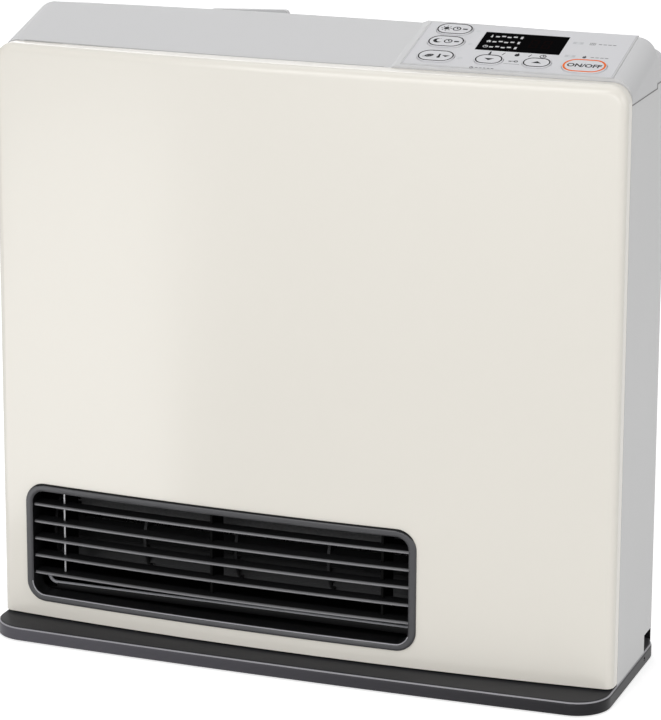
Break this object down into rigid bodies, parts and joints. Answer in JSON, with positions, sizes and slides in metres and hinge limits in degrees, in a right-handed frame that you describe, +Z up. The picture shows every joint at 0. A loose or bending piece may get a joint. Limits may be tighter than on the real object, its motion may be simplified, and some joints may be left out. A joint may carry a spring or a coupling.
{
  "type": "gas fan heater",
  "caption": "Slim floor-standing gas fan heater: bowed front panel with a low louvred warm-air outlet, sloping top with push-button controls, wide flat base, lift-out rear filter.",
  "frame": {"origin": "middle of the base's outline, at the level of the feet's undersides", "axes": "+Z up, -Y out of the front panel, +X to the right of someone facing the front"},
  "size_m": [0.435, 0.15, 0.4281],
  "materials": {
    "cream_paint": "satin enamel",
    "grey_paint": "satin enamel",
    "grey_plastic": "fine satin",
    "dark_plastic": "satin",
    "rubber": "matt",
    "control_film": "printed film",
    "button_plastic": "satin",
    "smoked_window": "polished",
    "lamp_plastic": "clear",
    "dark_paint": "satin heat-proof enamel",
    "zinc_steel": "zinc plated",
    "aluminised_steel": "dull",
    "shaft_steel": "ground",
    "brass": "turned",
    "cast_alloy": "die cast",
    "coil_black": "moulded",
    "board_green": "lacquered",
    "white_insulator": "glazed",
    "black_plastic": "satin",
    "filter_plastic": "satin",
    "mesh_fabric": "woven net"
  },
  "bodies": {
    "heater": {"base": "dark_plastic", "base_feet": "rubber", "front_panel": "cream_paint", "left_side_panel": "grey_paint", "right_side_panel": "grey_paint", "rear_panel": "grey_paint", "top_cover": "grey_plastic", "control_sheet": "control_film", "display_window": "smoked_window", "indicator_lenses": "lamp_plastic", "control_board": "board_green", "key_switches": "black_plastic", "number_display": "black_plastic", "outlet_frame": "dark_paint", "louver_blades": "dark_paint", "louver_stays": "dark_paint", "left_chassis_plate": "zinc_steel", "right_chassis_plate": "zinc_steel", "bearing_bush": "rubber", "fan_motor": "zinc_steel", "scroll_plate": "zinc_steel", "tongue_plate": "zinc_steel", "overheat_switch": "black_plastic", "combustion_chamber": "aluminised_steel", "burner": "aluminised_steel", "nozzle": "brass", "valve_block": "cast_alloy", "solenoid_coils": "coil_black", "gas_pipe": "aluminised_steel", "gas_plug": "brass", "flame_rod": "white_insulator", "spark_electrode": "white_insulator", "heat_shield": "aluminised_steel", "board_tray": "black_plastic", "main_board": "board_green", "transformer": "coil_black", "igniter": "black_plastic", "board_components": "black_plastic", "tip_switch": "black_plastic", "room_sensor": "black_plastic", "cord_gland": "black_plastic", "filter_guides": "filter_plastic", "rear_grille": "filter_plastic", "rear_screws": "zinc_steel", "grille_screws": "zinc_steel", "base_screws": "zinc_steel"},
    "fan": {"fan_wheel": "aluminised_steel", "fan_shaft": "shaft_steel"},
    "filter": {"filter_frame": "grey_plastic", "filter_mesh": "mesh_fabric"},
    "pendulum": {"tip_pendulum": "shaft_steel"},
    "front_plunger": {"front_plunger": "shaft_steel"},
    "rear_plunger": {"rear_plunger": "shaft_steel"},
    "button_boost": {"button_boost": "button_plastic"},
    "button_sleep": {"button_sleep": "button_plastic"},
    "button_eco": {"button_eco": "button_plastic"},
    "button_down": {"button_down": "button_plastic"},
    "button_up": {"button_up": "button_plastic"},
    "button_power": {"button_power": "button_plastic"}
  },
  "joints": [
    {"name": "boost_press", "type": "slide", "parent": "heater", "child": "button_boost", "axis": [0, 0.2756, -0.9613], "range_m": [0, 0.0006], "stiffness_N_per_m": 1200, "springref_m": -0.0004},
    {"name": "sleep_press", "type": "slide", "parent": "heater", "child": "button_sleep", "axis": [0, 0.2756, -0.9613], "range_m": [0, 0.0006], "stiffness_N_per_m": 1200, "springref_m": -0.0004},
    {"name": "eco_press", "type": "slide", "parent": "heater", "child": "button_eco", "axis": [0, 0.2756, -0.9613], "range_m": [0, 0.0006], "stiffness_N_per_m": 1200, "springref_m": -0.0004},
    {"name": "down_press", "type": "slide", "parent": "heater", "child": "button_down", "axis": [0, 0.2756, -0.9613], "range_m": [0, 0.0006], "stiffness_N_per_m": 1200, "springref_m": -0.0004},
    {"name": "up_press", "type": "slide", "parent": "heater", "child": "button_up", "axis": [0, 0.2756, -0.9613], "range_m": [0, 0.0006], "stiffness_N_per_m": 1200, "springref_m": -0.0004},
    {"name": "power_press", "type": "slide", "parent": "heater", "child": "button_power", "axis": [0, 0.2756, -0.9613], "range_m": [0, 0.0006], "stiffness_N_per_m": 1200, "springref_m": -0.0004},
    {"name": "fan_spin", "type": "hinge", "parent": "heater", "child": "fan", "pos_m": [0, 0.013, 0.0635], "axis": [1, 0, 0], "continuous": true},
    {"name": "filter_lift", "type": "slide", "parent": "heater", "child": "filter", "axis": [0, 0, 1], "range_m": [0, 0.31]},
    {"name": "tip_swing", "type": "hinge", "parent": "heater", "child": "pendulum", "pos_m": [0.155, -0.014, 0.039], "axis": [0, 1, 0], "range_deg": [-30, 30]},
    {"name": "front_plunger_lift", "type": "slide", "parent": "heater", "child": "front_plunger", "axis": [0, 0, 1], "range_m": [0, 0.002], "stiffness_N_per_m": 300, "springref_m": -0.002},
    {"name": "rear_plunger_lift", "type": "slide", "parent": "heater", "child": "rear_plunger", "axis": [0, 0, 1], "range_m": [0, 0.002], "stiffness_N_per_m": 300, "springref_m": -0.002}
  ]
}
